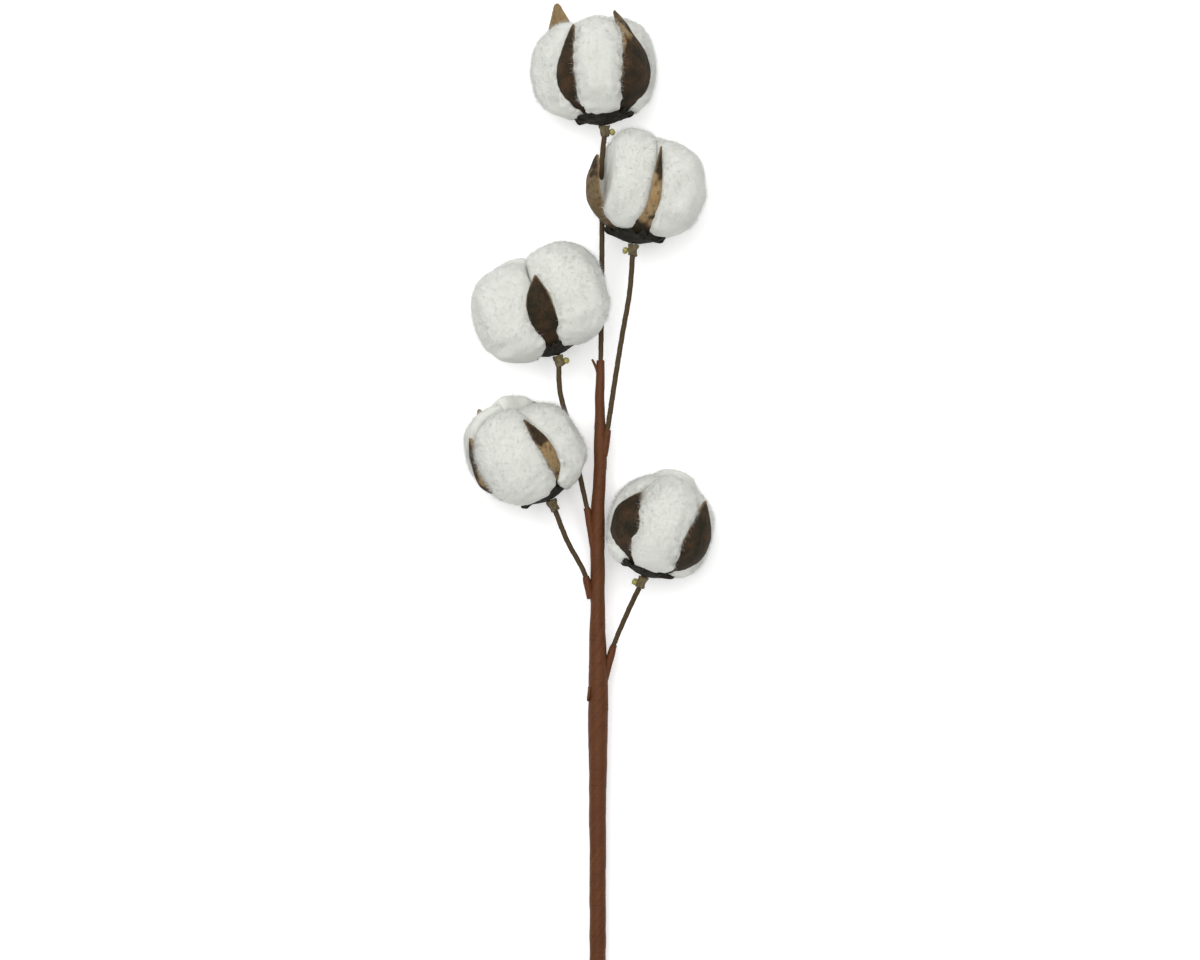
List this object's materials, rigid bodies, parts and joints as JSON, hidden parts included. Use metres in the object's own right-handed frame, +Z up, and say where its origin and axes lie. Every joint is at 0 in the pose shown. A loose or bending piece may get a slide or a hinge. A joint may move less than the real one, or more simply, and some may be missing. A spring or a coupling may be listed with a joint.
{
  "type": "cotton stem bunch",
  "caption": "Spray of open cotton bolls with white lint and dark split burs on wire stalks bound by brown tape into one straight stem, lying down.",
  "frame": {"origin": "middle of the spray's footprint, on the surface it lies on", "axes": "+Y up the stem from the cut end to the top boll, +X to the stem's right seen from above, +Z up from the surface"},
  "size_m": [0.105, 0.5008, 0.0528],
  "materials": {
    "lint": "soft loose cotton fibre, faint cream tint",
    "bur": "dry dark brown husk outside, tan and striped inside",
    "calyx": "torn, dry, nearly black",
    "pedicel": "dry knobbly golden brown stub",
    "glue": "translucent yellow-green hot glue",
    "wire": "dark brown paper wrapped on wire",
    "tape": "reddish brown waxed crepe stem tape, wound in overlapping turns"
  },
  "bodies": {
    "root": {"stem_tape": "tape", "stalk_wire_1": "wire", "stalk_wire_2": "wire", "stalk_wire_3": "wire", "stalk_wire_4": "wire", "stalk_wire_5": "wire", "boll_1_bur": "bur", "boll_1_calyx": "calyx", "boll_1_pedicel": "pedicel", "boll_1_glue_bead": "glue", "boll_1_lock_a": "lint", "boll_1_lock_b": "lint", "boll_1_lock_c": "lint", "boll_1_lock_d": "lint", "boll_2_bur": "bur", "boll_2_calyx": "calyx", "boll_2_pedicel": "pedicel", "boll_2_glue_bead": "glue", "boll_2_lock_a": "lint", "boll_2_lock_b": "lint", "boll_2_lock_c": "lint", "boll_2_lock_d": "lint", "boll_3_bur": "bur", "boll_3_calyx": "calyx", "boll_3_pedicel": "pedicel", "boll_3_glue_bead": "glue", "boll_3_lock_a": "lint", "boll_3_lock_b": "lint", "boll_3_lock_c": "lint", "boll_3_lock_d": "lint", "boll_4_bur": "bur", "boll_4_calyx": "calyx", "boll_4_pedicel": "pedicel", "boll_4_lock_a": "lint", "boll_4_lock_b": "lint", "boll_4_lock_c": "lint", "boll_4_lock_d": "lint", "boll_5_bur": "bur", "boll_5_calyx": "calyx", "boll_5_pedicel": "pedicel", "boll_5_glue_bead": "glue", "boll_5_lock_a": "lint", "boll_5_lock_b": "lint", "boll_5_lock_c": "lint", "boll_5_lock_d": "lint"}
  },
  "joints": []
}
